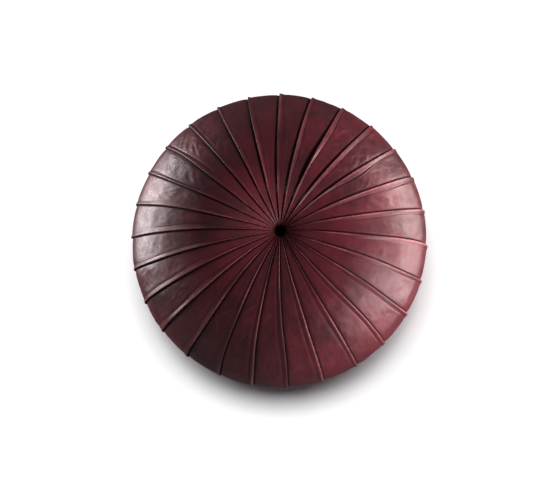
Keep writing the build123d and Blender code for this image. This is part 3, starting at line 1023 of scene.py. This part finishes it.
ROOM_COLOUR = (0.9, 0.92, 1.0, 1)
ROOM_STRENGTH = 0.06


def make_world():
    """White behind the floor for the camera, and a dim even room for everything else."""
    world = bpy.data.worlds.new("room")
    bpy.context.scene.world = world
    world.use_nodes = True
    tree = world.node_tree
    dim = tree.nodes["Background"]
    dim.inputs["Color"].default_value = ROOM_COLOUR
    dim.inputs["Strength"].default_value = ROOM_STRENGTH
    white = tree.nodes.new("ShaderNodeBackground")
    white.inputs["Strength"].default_value = 1.0
    ray = tree.nodes.new("ShaderNodeLightPath")
    pick = tree.nodes.new("ShaderNodeMixShader")
    tree.links.new(ray.outputs["Is Camera Ray"], pick.inputs["Fac"])
    tree.links.new(dim.outputs["Background"], pick.inputs[1])
    tree.links.new(white.outputs["Background"], pick.inputs[2])
    tree.links.new(pick.outputs["Shader"], tree.nodes["World Output"].inputs["Surface"])


# Camera: its lean from the pouf's axis and its turn aside, in radians, the radius of pouf that its
# lens was fitted to, its distance from the middle of the pouf, and its lens and sensor in mm
CAMERA_TILT = 0.138
CAMERA_YAW = -0.0366
FITTED_RADIUS = 0.3185
CAMERA_DISTANCE = 7.0 * FITTED_RADIUS
CAMERA_LENS = 66.3
CAMERA_SENSOR = 36.0
CAMERA_SHIFT = (0.0022, -0.0013)


def make_camera():
    """Camera above the pouf, looking almost along its axis, a little from the -Y side: +Y is up."""
    tilt, yaw = CAMERA_TILT, CAMERA_YAW
    back = Vector((-math.sin(yaw), -math.cos(yaw) * math.sin(tilt), math.cos(yaw) * math.cos(tilt)))
    up = Vector((0, math.cos(tilt), math.sin(tilt)))
    right = up.cross(back).normalized()
    data = bpy.data.cameras.new("camera")
    data.sensor_width = CAMERA_SENSOR
    data.lens = CAMERA_LENS
    data.shift_x, data.shift_y = CAMERA_SHIFT
    data.clip_start, data.clip_end = 0.05, 60
    camera = bpy.data.objects.new("camera", data)
    bpy.context.scene.collection.objects.link(camera)
    turn = Matrix((right, up, back)).transposed().to_4x4()
    spot = Vector((0, 0, RIM_HEIGHT)) + back * CAMERA_DISTANCE
    camera.matrix_world = Matrix.Translation(spot) @ turn
    bpy.context.scene.camera = camera


# ---------------------------------------------------------------- making

make_camera()
make_world()
floor = make_floor()
cover_leather = leather_material(
    "cover_leather", dark=(0.052, 0.012, 0.016), mid=(0.155, 0.017, 0.026), pale_wear_and_highlight=(0.46, 0.110, 0.120),
    rough_low=0.34, rough_high=0.50, shine=1.0,
)
base_leather = leather_material(
    "base_leather", dark=(0.035, 0.010, 0.012), mid=(0.09, 0.016, 0.02), pale_wear_and_highlight=(0.2, 0.05, 0.05),
    rough_low=0.5, rough_high=0.7, shine=0.5,
)
profile = Profile(ROW_STEP)
sim_rows, sim_lift = simulate_cover()
for _ in range(SIM_REFINEMENTS):
    sim_rows = refine(sim_rows, 0)
    sim_lift = refine(refine(sim_lift, 1), 2)
gores = [make_gore(k, profile, sim_rows, sim_lift[k], cover_leather) for k in range(GORES)]

# Felt behind the hole, made near black, darker than its own colour, as painted shade for the deep hole
felt_and_hole_shade = woven_material(
    "backing_felt", (0.004, 0.004, 0.004), (0.014, 0.012, 0.012), 900, (0, 0, 0.7), rough=0.98, sheen=0.1)
cord = woven_material("waxed_cord", (0.03, 0.008, 0.01), (0.11, 0.03, 0.035), 700, (0, 0.9, 0.5), 0.7, 0.1)
cotton = woven_material("liner_cotton", (0.40, 0.36, 0.30), (0.72, 0.68, 0.60), 600, (0, 0, 0.785))
tape = woven_material("zip_tape", (0.02, 0.006, 0.008), (0.09, 0.02, 0.028), 900, (0, 0, 0.785), 0.85, 0.2)
wadding = foam_material("wadding", (0.55, 0.55, 0.53), (0.86, 0.86, 0.84), 420)
foam = foam_material("core_foam", (0.42, 0.36, 0.20), (0.82, 0.75, 0.52), 260)
wood = wood_material("washer_wood")
brass = brass_material("zip_brass")
make_stuffing(cotton, wadding, foam)
make_base(base_leather, cord)
make_drawstring(cord)
dress("hole_backing", felt_and_hole_shade)
dress("tie_cord", cord)
dress("base_tie_washer", wood)
for node in ("zip_tape_front", "zip_tape_rear"):
    dress(node, tape)
for node in ("zip_teeth_front", "zip_teeth_rear", "zip_top_stops", "zip_bottom_stop"):
    dress(node, brass)
dress("zip_slider", brass)
dress("zip_pull", brass)

light_studio(floor, gores + [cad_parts[n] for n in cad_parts])
bpy.context.scene.view_settings.view_transform = "Standard"
bpy.context.scene.view_settings.look = "None"
